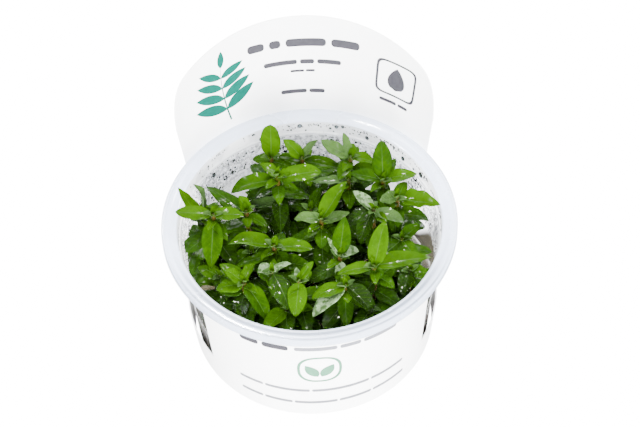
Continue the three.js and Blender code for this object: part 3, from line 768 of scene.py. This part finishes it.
def leaf_blade(root, leaf, look, plan, luck):
    """A folded, gently waved blade with its stalk, rooted on the shoot."""
    bm = leafy_bmesh()
    heading, rise, length, width, bend = leaf[1:6]
    fold = math.radians(leaf[6] if len(leaf) > 6 else luck.choice((8, 14, 20, 28)))
    blunt = leaf[7] if len(leaf) > 7 else luck.uniform(-0.1, 0.45)
    flat = Vector((math.cos(math.radians(heading)), math.sin(math.radians(heading)), 0))
    side = Vector((-flat.y, flat.x, 0))
    up = Vector((0, 0, 1))
    start = math.radians(rise)
    curl = math.radians(bend or 0.01)
    waves = luck.uniform(1.4, 3.2)
    phase = luck.uniform(0, math.tau)
    crimp = luck.uniform(0.02, 0.065) * width
    twist = math.radians(luck.uniform(-22, 22))
    sickle = luck.uniform(-0.07, 0.07) * length
    recurve = luck.uniform(-0.9, 0.35) * length
    hem = luck.uniform(-0.1, 0.14) * width
    grid = bmesh.ops.create_grid(
        bm, x_segments=plan.leaf_columns, y_segments=plan.leaf_rows, size=1
    )["verts"]
    map_u = bm.verts.layers.float["across"]
    map_v = bm.verts.layers.float["along"]
    tint = bm.verts.layers.float_color["leaf_look"]
    normals = {}
    for vert in grid:
        across, along = vert.co.x, (vert.co.y + 1) / 2
        slope = start - curl * along
        ahead = flat * math.cos(slope) + up * math.sin(slope)
        normal = ahead.cross(side)
        middle = (
            root
            + flat * (length * (math.sin(start) - math.sin(slope)) / curl)
            + up * (length * (math.cos(slope) - math.cos(start)) / curl)
        )
        share = blade_share(along, blunt)
        half = width / 2 * share
        ripple = crimp * across**2 * math.sin(waves * math.tau * along + phase + (across > 0) * 1.3)
        lift = half * math.sin(fold) * abs(across) ** 1.35 + ripple * share
        lift -= hem * share * max(0.0, abs(across) - 0.5) ** 2 * 4
        turn = Matrix.Rotation(twist * along, 3, ahead)
        offset = side * (half * across * math.cos(fold)) + normal * lift
        sway = side * (sickle * along**2) + normal * (recurve * max(0.0, along - 0.6) ** 2)
        spot = middle + turn @ offset + sway
        vert.co = inside_cup(spot)
        vert[map_u] = across
        vert[map_v] = along
        vert[tint] = (*look, 1.0)
        normals[(round(across, 4), round(along, 4))] = normal
    thickness = plan.leaf_thickness / MM

    def put_below(vert):
        normal = normals[(round(vert[map_u], 4), round(vert[map_v], 4))]
        depth = thickness * (1.25 - vert[map_v]) * (1 - 0.55 * abs(vert[map_u]))
        vert.co = vert.co - normal * depth
        vert[tint] = (*look, 0.0)

    thickened(bm, bm.faces[:], put_below)
    uv = bm.loops.layers.uv["leaf_map"]
    for face in bm.faces:
        for loop in face.loops:
            loop[uv].uv = ((loop.vert[map_u] + 1) / 2, loop.vert[map_v])
    bmesh.ops.recalc_face_normals(bm, faces=bm.faces)
    return bm


def full_leaves(number):
    """Each leaf of a shoot with its look: the young ones, the older pair and the pairs below."""
    tip, _, older, looks, young = SHOOTS[number - 1]
    leaves = list(zip(young, looks)) + [(leaf, "d") for leaf in WALL_LEAVES.get(number, ())]
    for drop, turn, *rest in BUD_LEAVES:
        leaves.append(((drop, older + turn, *rest), "b" if drop < 0.5 else "p"))
    drop, *rest = INNER_PAIR
    leaves += [((drop, older + turn, *rest), "b") for turn in (38, 224)]
    drop, *rest = COLLAR_PAIR
    leaves += [((drop, older + turn, *rest), "m") for turn in (90, 270)]
    drop, *rest = OLDER_PAIR
    leaves += [((drop, older + turn, *rest), "d" if turn else "m") for turn in (0, 180)]
    for drop, turn, *rest in LOWER_PAIRS:
        if tip[2] - drop > GEL_TOP + 6:
            leaves += [((drop, older + turn + half, *rest), "d") for half in (0, 180)]
    return leaves


def crown_depth(shoot):
    """How far down from the tip the green axis reaches."""
    return max([leaf[0] for leaf in shoot[4]] + [OLDER_PAIR[0]]) + 1.5


# ---- materials ----------------------------------------------------------------------------------


class Graph:
    """Adds nodes to a tree. A value is a number, a colour or the output of another node."""

    def __init__(self, tree):
        self.tree = tree

    def feed(self, socket, value):
        """Links a socket, or sets its value."""
        if isinstance(value, bpy.types.NodeSocket):
            self.tree.links.new(value, socket)
        elif socket.type == "RGBA" and len(value) == 3:
            socket.default_value = (*value, 1.0)
        else:
            socket.default_value = value

    def node(self, kind, inputs=None, **settings):
        """Adds a node, sets its settings, feeds its sockets, and returns its outputs."""
        node = self.tree.nodes.new(kind)
        for name, value in settings.items():
            setattr(node, name, value)
        for socket, value in (inputs or {}).items():
            self.feed(node.inputs[socket], value)
        return node.outputs

    def maths(self, operation, a, b=0.0, clamp=False):
        return self.node("ShaderNodeMath", {0: a, 1: b}, operation=operation, use_clamp=clamp)[0]

    def times(self, a, b):
        return self.maths("MULTIPLY", a, b)

    def plus(self, a, b):
        return self.maths("ADD", a, b)

    def minus(self, a, b):
        return self.maths("SUBTRACT", a, b)

    def larger(self, a, b):
        return self.maths("MAXIMUM", a, b)

    def ranged(self, value, low, high, to_low=0.0, to_high=1.0):
        """Eases a value over from one range to another."""
        return self.node(
            "ShaderNodeMapRange", {0: value, 1: low, 2: high, 3: to_low, 4: to_high},
            interpolation_type="SMOOTHSTEP",
        )[0]

    def fall(self, value, low, high, start=1.0, end=0.0):
        """The same from high to low."""
        return self.ranged(value, low, high, start, end)

    def blend(self, share, a, b):
        """Mixes two colours."""
        return self.node(
            "ShaderNodeMix", {0: share, 6: a, 7: b}, data_type="RGBA", blend_type="MIX",
            clamp_factor=True,
        )[2]

    def grain(self, scale=400.0):
        """The mask and the height of the fine grain."""
        return self.node("ShaderNodeGroup", {"Scale": scale}, node_tree=grain_group())

    def place(self):
        """The Object coordinates: the vector, then X, Y and Z."""
        spot = self.node("ShaderNodeTexCoord")["Object"]
        return (spot, *self.node("ShaderNodeSeparateXYZ", {0: spot}))

    def bump(self, height, strength, distance, **more):
        sockets = {"Height": height, "Strength": strength, "Distance": distance, **more}
        return self.node("ShaderNodeBump", sockets)[0]


class Surface(Graph):
    """The nodes of a new material."""

    def __init__(self, name):
        self.material = bpy.data.materials.new(name)
        self.material.use_nodes = True
        super().__init__(self.material.node_tree)

    def light_passing(self):
        """An Alpha that lets most light through a clear wall onto what lies behind it."""
        shadow = self.node("ShaderNodeLightPath")["Is Shadow Ray"]
        return self.minus(1.0, self.times(shadow, 0.94))

    def shade(self, **values):
        """Sets the shader's sockets, base_color for Base Color and so on; returns the material."""
        for socket in self.tree.nodes["Principled BSDF"].inputs:
            name = socket.name.lower().replace(" ", "_")
            if name in values:
                self.feed(socket, values[name])
        return self.material


def new_group(name, given, kind, *made):
    """A node group with one input, some numbers as outputs, and its first node."""
    tree = bpy.data.node_groups.new(name, "ShaderNodeTree")
    entry = tree.interface.new_socket(given, in_out="INPUT", socket_type=kind)
    for output in made:
        tree.interface.new_socket(output, in_out="OUTPUT", socket_type="NodeSocketFloat")
    net = Graph(tree)
    return net, entry, net.node("NodeGroupInput")[0]


def grain_group():
    """Fine grain from Object coordinates: a mask from 0 to 1, and a height for a bump."""
    found = bpy.data.node_groups.get("Fine grain")
    if found:
        return found
    net, entry, scale = new_group("Fine grain", "Scale", "NodeSocketFloat", "Mask", "Height")
    entry.default_value = 400.0
    place = net.node("ShaderNodeTexCoord")["Object"]
    coarse, fine = (
        net.node("ShaderNodeTexNoise", {"Vector": place, "Scale": size, "Detail": detail})[0]
        for size, detail in ((scale, 3.0), (net.times(scale, 5.0), 2.0))
    )
    net.node("NodeGroupOutput", {0: net.ranged(coarse, 0.3, 0.7), 1: fine})
    return net.tree


def veins_group():
    """The pattern of a blade from its leaf_map: the midrib, and the relief of its side veins."""
    net, _, given = new_group("Leaf veins", "Map", "NodeSocketVector", "Midrib", "Vein", "Height")
    side, along, _ = net.node("ShaderNodeSeparateXYZ", {0: given})
    across = net.times(net.maths("ABSOLUTE", net.minus(side, 0.5)), 2.0)
    narrowing = net.minus(0.085, net.times(along, 0.06))
    midrib = net.fall(net.maths("DIVIDE", across, narrowing), 0.45, 1.0)
    slant = net.minus(net.times(along, 8.0), net.times(across, 1.7))
    saw = net.maths("ABSOLUTE", net.minus(net.maths("FRACT", slant), 0.5))
    reach = net.fall(across, 0.7, 1.0)
    vein = net.times(net.fall(saw, 0.0, 0.16), reach)
    quilt = net.times(net.maths("SQRT", saw), reach)
    height = net.minus(quilt, net.times(midrib, 1.2))
    net.node("NodeGroupOutput", {0: midrib, 1: vein, 2: height})
    return net.tree


def leaf_material(plan):
    net = Surface("Leaf skin")
    look = net.node("ShaderNodeAttribute", attribute_name="leaf_look")
    tone, silver, wet = net.node("ShaderNodeSeparateColor", {0: look["Color"]})
    leaf_map = net.node("ShaderNodeUVMap", uv_map="leaf_map")[0]
    midrib, vein, relief = net.node("ShaderNodeGroup", {"Map": leaf_map}, node_tree=veins_group())
    grain = net.grain(260.0)[0]
    shade = net.plus(tone, net.ranged(grain, 0, 1, -0.12, 0.12))
    low = net.maths("MULTIPLY", shade, 2.0, clamp=True)
    high = net.maths("SUBTRACT", net.times(shade, 2.0), 1.0, clamp=True)
    bare = net.ranged(net.grain(620.0)[0], 0.2, 0.7, 0.25, 1.0)
    bare = net.plus(1.0, net.times(net.minus(bare, 1.0), silver))
    below = net.times(net.minus(1.0, look["Alpha"]), 0.2)
    colour = net.blend(low, plan.dark_leaf, plan.middle_leaf)
    for share, tint in (
        (high, plan.bright_leaf),
        (net.times(silver, bare), plan.silver_leaf),
        (net.times(vein, 0.25), plan.bright_leaf),
        (net.times(midrib, 0.13), plan.silver_leaf),
        (below, plan.silver_leaf),
    ):
        colour = net.blend(share, colour, tint)
    swell = net.bump(grain, 0.6, 0.0004, Normal=net.bump(relief, 0.4, 0.0003))
    wet_film_and_low_shade = net.ranged(net.grain(560.0)[0], 0.36, 0.72, 0.0, 0.95)
    drenched = net.times(net.times(wet, wet_film_and_low_shade), net.fall(vein, 0.0, 0.7, 1.0, 0.1))
    return net.shade(
        base_color=colour, roughness=net.fall(drenched, 0.0, 1.0, 0.6, 0.4), normal=swell,
        specular_ior_level=0.015, coat_weight=drenched, coat_roughness=0.115, coat_ior=1.42,
    )


def stem_material(plan):
    net = Surface("Stem bark")
    mask, relief = net.grain(500.0)
    high = net.ranged(net.place()[3], 0.02, 0.058)
    young = net.blend(high, plan.stem_colour, (0.026, 0.024, 0.005))
    return net.shade(
        base_color=net.blend(net.times(mask, 0.5), young, (0.012, 0.007, 0.0035)),
        roughness=0.42, normal=net.bump(relief, 0.4, 0.0002), specular_ior_level=0.3,
    )


def axis_material(plan):
    net = Surface("Green shoot")
    mask, relief = net.grain()
    return net.shade(
        base_color=net.blend(net.times(mask, 0.75), plan.middle_leaf, plan.stem_colour),
        roughness=0.4, normal=net.bump(relief, 0.3, 0.0001), specular_ior_level=0.3,
    )


def plastic_material(cup):
    """Clear, with painted shade in dark brown low down by the gel, damp low in front, and mist high
    up at the back.
    """
    net = Surface("Clear plastic")
    _, _, y, z = net.place()
    rough = net.ranged(net.grain(90.0)[0], 0.0, 1.0, 0.015, 0.05)
    damp = net.times(net.fall(z, 0.02, 0.025), net.fall(y, -0.012, -0.009))
    band = net.ranged(z, (LEDGE - 17) * MM, (LEDGE - 9) * MM)
    band = net.times(band, net.fall(z, (LEDGE - 0.6) * MM, (LEDGE - 0.1) * MM))
    band = net.times(band, net.ranged(y, -0.006, 0.0))
    speckle = net.times(net.ranged(net.grain(750.0)[0], 0.45, 0.8, 0.0, 0.75), band)
    # Painted shade: low down by the gel the wall is tinted dark brown, for the shade seen through
    # it there.
    wet_film_and_low_shade = net.fall(z, (GEL_TOP + 4) * MM, (GEL_TOP + 13) * MM, 0.88)
    colour = net.blend(wet_film_and_low_shade, cup.plastic_colour, (0.16, 0.145, 0.12))
    colour = net.blend(net.times(band, 0.25), colour, (0.55, 0.58, 0.6))
    return net.shade(
        base_color=net.blend(speckle, colour, (0.26, 0.27, 0.28)),
        roughness=net.plus(rough, net.times(damp, 0.35)), transmission_weight=1.0, ior=1.47,
        alpha=net.light_passing(), normal=net.bump(speckle, 0.3, 0.0003),
    )


def seat_material(cup):
    net = Surface("Hazy seat")
    mask, z = net.grain(110.0)[0], net.place()[3]
    # Painted shade: the seat darkens along its foot by the ledge and along its brow under the lip.
    foot = net.fall(z, (LEDGE + 0.1) * MM, (LEDGE + 0.6) * MM, 0.8)
    brow = net.ranged(z, (LIP - 0.7) * MM, (LIP - 0.2) * MM, 0.0, 0.35)
    shade = net.larger(net.larger(foot, brow), net.ranged(mask, 0.55, 0.9, 0.0, 0.35))
    return net.shade(
        base_color=net.blend(shade, cup.seat_colour, (0.3, 0.32, 0.34)), roughness=0.16,
        transmission_weight=0.35, ior=1.47, alpha=net.light_passing(),
        normal=net.bump(mask, 0.4, 0.0004),
    )


def rim_material(cup):
    """Milky, with painted shade in the grooves, at the lip and at the hem of its front; the grooves
    and the lip get it mostly at the front, and the whole front gets a little.
    """
    net = Surface("Milky rim")
    spot, _, y, z = net.place()
    level = net.node("ShaderNodeVectorMath", {0: spot, 1: (1, 1, 0)}, operation="MULTIPLY")[0]
    out = net.node("ShaderNodeVectorMath", {0: level}, operation="LENGTH")["Value"]
    # front: painted shade falls off from the front of the rim towards its back.
    front = net.fall(y, -0.034, -0.012, 1.0, 0.06)
    hollow = net.larger(*(
        net.fall(net.maths("ABSOLUTE", net.minus(out, middle * MM)), 0.2 * reach * MM, reach * MM)
        for middle, reach in RIM_HOLLOWS
    ))
    lip = net.fall(out, (MOUTH_RADIUS + 0.3) * MM, (MOUTH_RADIUS + 0.9) * MM, 0.5)
    skirt = CUP_HEIGHT - SKIRT_DEPTH
    hem = net.fall(z, (skirt + 0.2) * MM, (skirt + 0.5) * MM, 0.55)
    shade = net.larger(net.times(net.larger(hollow, lip), front), net.times(front, 0.2))
    shade = net.times(net.larger(shade, hem), 0.85)
    return net.shade(
        base_color=net.blend(shade, cup.rim_colour, cup.rim_shade),
        roughness=net.ranged(net.grain(60.0)[0], 0.0, 1.0, 0.22, 0.3),
        transmission_weight=0.35, ior=1.47, alpha=net.light_passing(), coat_weight=0.5,
        coat_roughness=0.08, normal=net.bump(net.minus(1.0, hollow), 0.5, 0.0003),
    )


def drop_material():
    net = Surface("Water drops")
    # Painted shade: each drop darkens towards its edges, as a painted dark rim.
    dark = net.ranged(net.node("ShaderNodeLayerWeight", {"Blend": 0.5})["Facing"], 0.08, 0.46)
    return net.shade(
        base_color=net.blend(dark, (0.3, 0.35, 0.37), (0.006, 0.009, 0.01)),
        roughness=net.ranged(net.grain()[0], 0.0, 1.0, 0.0, 0.03), transmission_weight=1.0,
        ior=1.33, alpha=net.light_passing(),
    )


def gel_material(cup):
    net = Surface("Nutrient gel")
    mask, relief = net.grain(120.0)
    return net.shade(
        base_color=net.blend(mask, cup.gel_colour, (0.17, 0.15, 0.08)), roughness=0.25,
        normal=net.bump(relief, 0.2, 0.0003), transmission_weight=0.6, ior=1.34,
    )


def card_material(card):
    net = Surface("White card")
    mask, relief = net.grain(300.0)
    duller = tuple(c * 0.97 for c in card.card_colour)
    return net.shade(
        base_color=net.blend(mask, card.card_colour, duller), roughness=0.5,
        normal=net.bump(relief, 0.08, 0.0001), specular_ior_level=0.3,
    )


def ink_material(name, ink, paler):
    """Printed ink whose colour wavers a little over the card."""
    net = Surface(name)
    share = net.times(net.grain(700.0)[0], 0.35)
    colour = net.blend(share, ink, paler)
    return net.shade(base_color=colour, roughness=0.6, specular_ior_level=0.05)


def floor_material(colour):
    """White for the camera. Seen through the plastic near the cup it is dark, a painted shadow, and
    seen in a reflection it is dark all over, a painted dark reflection.
    """
    net = Surface("Pale floor")
    spot, x, y, _ = net.place()
    path = net.node("ShaderNodeLightPath")
    tint = net.blend(net.grain(6.0)[0], colour, tuple(c * 0.99 for c in colour))
    away = net.node("ShaderNodeVectorMath", {0: spot}, operation="LENGTH")["Value"]
    # Painted shadow: near the cup the floor goes dark for rays that pass through or bounce off the
    # plastic; left and right mark two spots where it stays pale.
    left = net.times(net.fall(x, -0.036, -0.02), net.ranged(y, 0.008, 0.018))
    right = net.times(net.ranged(x, 0.038, 0.042), net.ranged(y, 0.033, 0.038))
    near = net.times(net.fall(away, 0.085, 0.17), net.minus(1.0, left))
    near = net.times(near, net.fall(net.maths("ABSOLUTE", x), 0.047, 0.06))
    near = net.times(near, net.minus(1.0, right))
    bent = net.larger(path["Is Transmission Ray"], path["Is Glossy Ray"])
    seen = net.blend(net.times(bent, near), tint, (0.010, 0.0085, 0.0075))
    # Painted dark reflection: in a mirror-like reflection the floor is dark grey everywhere.
    mirrored = net.times(path["Is Glossy Ray"], path["Is Reflection Ray"])
    passed = net.times(path["Is Transmission Ray"], net.minus(1.0, near))
    beyond = net.times(passed, net.maths("LESS_THAN", path["Diffuse Depth"], 0.5))
    return net.shade(
        base_color=net.blend(net.times(mirrored, 0.97), seen, (0.02, 0.02, 0.02)), roughness=0.8,
        specular_ior_level=0.1, emission_color=tint,
        emission_strength=net.plus(
            net.times(path["Is Camera Ray"], WHITE_GLOW), net.times(beyond, 1.5)
        ),
    )


# ---- operators ----------------------------------------------------------------------------------


class PLANTCUP_OT_cup(bpy.types.Operator):
    """Turn the clear cup on its axis and round its rims"""

    bl_idname = "plantcup.cup"
    bl_label = "Clear cup"

    def execute(self, context):
        cup = context.scene.plant_cup
        bm = turned(cup_profile(), cup.segments)
        round_rings(bm, cup.edge_rounding / MM, 28)
        for face in bm.faces:
            middle = face.calc_center_median()
            if middle.xy.length > MOUTH_RADIUS + 0.1 and middle.z > LIP - 1.2:
                face.material_index = 1
            elif middle.xy.length < MOUTH_RADIUS + 0.15 and middle.z > LEDGE - 0.05:
                face.material_index = 2
        materials = [plastic_material(cup), rim_material(cup), seat_material(cup)]
        finished("cup", bm, materials, ["clear_cup"], sharp=50)
        return {"FINISHED"}


class PLANTCUP_OT_gel(bpy.types.Operator):
    """Turn the disc of nutrient gel"""

    bl_idname = "plantcup.gel"
    bl_label = "Nutrient gel"

    def execute(self, context):
        cup = context.scene.plant_cup
        clearance = WALL + GAP
        profile = (
            (0, clearance),
            (FOOT_RADIUS - 2.8, clearance),
            (outer_wall_radius(2.8) - clearance, 3),
            (outer_wall_radius(GEL_TOP) - clearance, GEL_TOP - 0.4),
            (outer_wall_radius(GEL_TOP) - clearance - 0.6, GEL_TOP - 0.1),
            (outer_wall_radius(GEL_TOP) - clearance - 3, GEL_TOP),
            (0, GEL_TOP),
        )
        bm = turned(profile, 96)
        finished("gel", bm, [gel_material(cup)], ["nutrient_gel"])
        return {"FINISHED"}


class PLANTCUP_OT_card(bpy.types.Operator):
    """Bend the die-cut card round the cup"""

    bl_idname = "plantcup.card"
    bl_label = "Card sleeve"

    def execute(self, context):
        card = context.scene.plant_card
        bm = bmesh.new()
        points = with_steps(card_top_edge(), 1.6)
        card_sheet(bm, points, 12, 0.0, card.thickness / MM)
        finished("card", bm, [card_material(card)], ["card_sleeve"])
        return {"FINISHED"}


class PLANTCUP_OT_print(bpy.types.Operator):
    """Print plain bars and leaves on the card"""

    bl_idname = "plantcup.print"
    bl_label = "Print"

    def execute(self, context):
        card = context.scene.plant_card
        back = card_length(-180)
        inside, outside = -INK_LIFT, card.thickness / MM + INK_LIFT
        grey, green, soft, mark = (bmesh.new() for _ in range(4))
        for bm, rows, origin, lift in (
            (grey, HEADER_BARS, back, inside),
            (grey, FRONT_BARS, 0, outside),
            (soft, FRONT_LINES, 0, outside),
        ):
            for start, end, *rest in rows:
                printed_dashes(bm, origin + start, origin + end, *rest, lift)
        printed_ring(grey, (back - 29.2, 74.0), 6.4, 6.9, 0.75, 7, inside)
        printed_leaf(grey, (back - 29.2, 69.4), 0, 9.6, 5.8, inside, 0.5, 0.9)
        twig = ((back + 24, 57), (back + 26, 70), (back + 24.5, 80.5))
        printed_branch(green, twig, 4, 12.5, 4.2, inside)
        printed_ring(mark, (1.2, 30.8), 7.2, 7.6, 1.0, 2.6, outside)
        for turn in (-30, 30):
            printed_leaf(mark, (1.2 + turn * 0.02, 26.2), turn, 8.6, 4.2, outside)
        for piece, bm, name, ink, paler in (
            ("print_bars", grey, "Grey ink", card.ink_grey, (0.045, 0.045, 0.052)),
            ("print_leaves", green, "Green ink", card.ink_green, (0.001, 0.085, 0.066)),
            ("print_lines", soft, "Soft grey ink", card.ink_soft, (0.17, 0.17, 0.19)),
            ("print_mark", mark, "Pale ink", card.ink_pale, (0.09, 0.22, 0.14)),
        ):
            finished(piece, bm, [ink_material(name, ink, paler)])
        return {"FINISHED"}


class PLANTCUP_OT_stems(bpy.types.Operator):
    """Grow the bare brown stems up from the gel"""

    bl_idname = "plantcup.stems"
    bl_label = "Bare stems"

    def execute(self, context):
        plan = context.scene.plant_shoots
        material = stem_material(plan)
        radius = plan.stem_radius / MM
        for number, shoot in enumerate(SHOOTS, 1):
            line = ShootLine(shoot[0], shoot[1])
            top = 1 - (crown_depth(shoot) + GAP) / line.length
            spacing = 6.0 / line.length

            def radius_at(share, top=top, spacing=spacing, number=number):
                at = top * share
                ring = math.cos(math.tau * (at / spacing + number * 0.37))
                return radius * (0.93 + 0.16 * max(0.0, ring) ** 6)

            bm = bmesh.new()
            lay_bar(bm, line, 0.002, top, 12, 36, radius_at)
            bmesh.ops.recalc_face_normals(bm, faces=bm.faces)
            name = f"bare_stem_{number:02d}"
            finished(name, bm, [material], [f"stem_{number:02d}"])
        return {"FINISHED"}


class PLANTCUP_OT_leaves(bpy.types.Operator):
    """Grow the green shoots with their leaves"""

    bl_idname = "plantcup.leaves"
    bl_label = "Leafy shoots"

    def execute(self, context):
        plan = context.scene.plant_shoots
        skin = leaf_material(plan)
        axis = axis_material(plan)
        for number, shoot in enumerate(SHOOTS, 1):
            luck = random.Random(number)
            line = ShootLine(shoot[0], shoot[1])
            parts = []
            for leaf, letter in full_leaves(number):
                tone, silver = LEAF_LOOKS[letter]
                wet = 1.0 if letter == "g" else luck.uniform(0.2, 0.65 if tone > 0.5 else 0.95)
                wet *= 1 - silver * 0.6
                look = (tone + luck.uniform(-0.08, 0.08), silver, wet)
                root = line.point(1 - leaf[0] / line.length)
                parts.append(leaf_blade(root, leaf, look, plan, luck))
            depth = crown_depth(shoot)
            axis_part = leafy_bmesh()
            lay_bar(
                axis_part, line, 1 - depth / line.length, 1 + 0.6 / line.length, 10, 12,
                lambda share: 0.8 * min(1.0, (1.02 - share) * 12) ** 0.5,
            )
            for face in axis_part.faces:
                face.material_index = 1
            bmesh.ops.recalc_face_normals(axis_part, faces=axis_part.faces)
            bm = joined([*parts, axis_part])
            name = f"leafy_shoot_{number:02d}"
            finished(name, bm, [skin, axis], [f"leaf_crown_{number:02d}"], sharp=75)
        return {"FINISHED"}


class PLANTCUP_OT_drops(bpy.types.Operator):
    """Scatter water drops over the inside of the cup's wall"""

    bl_idname = "plantcup.drops"
    bl_label = "Water drops"

    def execute(self, context):
        luck = random.Random(DROP_SEED)
        drops = list(BIG_DROPS)
        for clumps, count, low, high, first, last, least, most in DROP_BANDS:
            for _ in range(clumps):
                bearing, height = luck.uniform(first, last), luck.uniform(low, high)
                for _ in range(count):
                    size = least + (most - least) * luck.random() ** 2
                    spot = (bearing + luck.gauss(0, 2.2), height + luck.gauss(0, 0.5))
                    drops.append((spot[0], min(max(spot[1], low), high), size))
        parts = []
        for number, (bearing, height, size) in enumerate(drops):
            if number % 20 == 0:
                parts.append(bmesh.new())
            radius = inner_wall_radius(height) - size * 0.36
            place = Matrix.Rotation(math.radians(bearing), 4, "Z") @ Matrix.Translation(
                (0, -radius, height)
            )
            shape = Matrix.Diagonal((size * luck.uniform(0.75, 1), size * 0.36, size, 1))
            bmesh.ops.create_uvsphere(
                parts[-1], u_segments=8, v_segments=5, radius=1, matrix=place @ shape
            )
        bm = joined(parts)
        finished("water_drops", bm, [drop_material()], sharp=180)
        return {"FINISHED"}


class PLANTCUP_OT_stage(bpy.types.Operator):
    """Lay the floor and set the lights and the camera"""

    bl_idname = "plantcup.stage"
    bl_label = "Stage"

    def execute(self, context):
        stage = context.scene.plant_stage
        bm = bmesh.new()
        bmesh.ops.create_grid(bm, x_segments=4, y_segments=4, size=3000)
        bmesh.ops.translate(bm, vec=(0, 0, -0.05), verts=bm.verts)
        bmesh.ops.scale(bm, vec=(MM, MM, MM), verts=bm.verts)
        mesh = bpy.data.meshes.new("floor")
        bm.to_mesh(mesh)
        bm.free()
        mesh.materials.append(floor_material(tuple(stage.floor_colour)))
        floor = bpy.data.objects.new("floor", mesh)
        context.scene.collection.objects.link(floor)
        world = bpy.data.worlds.new("Room")
        context.scene.world = world
        world.use_nodes = True
        net = Graph(world.node_tree)
        path = net.node("ShaderNodeLightPath")
        seen = net.times(path["Is Camera Ray"], WHITE_GLOW)
        dimmed = net.minus(1.0, net.times(path["Is Glossy Ray"], 0.65))
        room = world.node_tree.nodes["Background"].inputs
        net.feed(room["Color"], (1.0, 1.0, 1.0))
        net.feed(room["Strength"], net.plus(seen, net.times(dimmed, stage.world_strength)))
        self.softbox(context, "overhead", (-0.25, 0.1, 0.8), 0.4, stage.top_power)
        self.softbox(context, "front", (0.1, -0.97, 0.27), 0.7, stage.front_power)
        for number, spot in enumerate(SPARKS, 1):
            self.softbox(context, f"spark_{number}", spot, 0.05, stage.spark_power, glossy=True)
        self.camera(context)
        return {"FINISHED"}

    def softbox(self, context, name, spot, size, power, glossy=False):
        lamp = bpy.data.lights.new(name, "AREA")
        lamp.size = size
        lamp.energy = power
        light = bpy.data.objects.new(name, lamp)
        light.location = spot
        light.visible_glossy = glossy
        aim = Vector((0, 0, 0.05)) - Vector(spot)
        light.rotation_euler = aim.to_track_quat("-Z", "Y").to_euler()
        context.scene.collection.objects.link(light)

    def camera(self, context):
        lens = bpy.data.cameras.new("camera")
        lens.lens = CAMERA_LENS
        lens.sensor_width = 36.0
        lens.shift_x, lens.shift_y = CAMERA_SHIFT
        lens.clip_start = 0.02
        lens.clip_end = 20.0
        view = bpy.data.objects.new("camera", lens)
        height = math.radians(CAMERA_PITCH)
        aim = Vector((0, 0, CUP_HEIGHT * MM))
        view.location = aim + Vector((0, -math.cos(height), math.sin(height))) * CAMERA_DISTANCE
        turn = (aim - view.location).to_track_quat("-Z", "Y").to_matrix().to_4x4()
        roll = Matrix.Rotation(math.radians(CAMERA_ROLL), 4, "Z")
        view.matrix_world = Matrix.Translation(view.location) @ turn @ roll
        context.scene.collection.objects.link(view)
        context.scene.camera = view


class PLANTCUP_PT_build(bpy.types.Panel):
    """Lists the settings and the operators in the sidebar"""

    bl_label = "Plant Cup"
    bl_space_type = "VIEW_3D"
    bl_region_type = "UI"
    bl_category = "Plant Cup"

    def draw(self, context):
        for group, _ in SETTINGS:
            settings = getattr(context.scene, group)
            box = self.layout.box()
            for name in settings.__annotations__:
                box.prop(settings, name)
        for operator in OPERATORS:
            self.layout.operator(operator.bl_idname)


SETTINGS = (
    ("plant_cup", CupSettings),
    ("plant_card", CardSettings),
    ("plant_shoots", PlantSettings),
    ("plant_stage", StageSettings),
)
OPERATORS = (
    PLANTCUP_OT_cup,
    PLANTCUP_OT_gel,
    PLANTCUP_OT_card,
    PLANTCUP_OT_print,
    PLANTCUP_OT_stems,
    PLANTCUP_OT_leaves,
    PLANTCUP_OT_drops,
    PLANTCUP_OT_stage,
)


def register():
    for name, settings in SETTINGS:
        bpy.utils.register_class(settings)
        setattr(bpy.types.Scene, name, PointerProperty(type=settings))
    for part in (*OPERATORS, PLANTCUP_PT_build):
        bpy.utils.register_class(part)


def unregister():
    for part in (PLANTCUP_PT_build, *reversed(OPERATORS)):
        bpy.utils.unregister_class(part)
    for name, settings in reversed(SETTINGS):
        delattr(bpy.types.Scene, name)
        bpy.utils.unregister_class(settings)


def main():
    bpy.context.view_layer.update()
    register()
    bpy.ops.plantcup.cup()
    bpy.ops.plantcup.gel()
    bpy.ops.plantcup.card()
    bpy.ops.plantcup.print()
    bpy.ops.plantcup.stems()
    bpy.ops.plantcup.leaves()
    bpy.ops.plantcup.drops()
    bpy.ops.plantcup.stage()


if __name__ == "__main__":
    main()
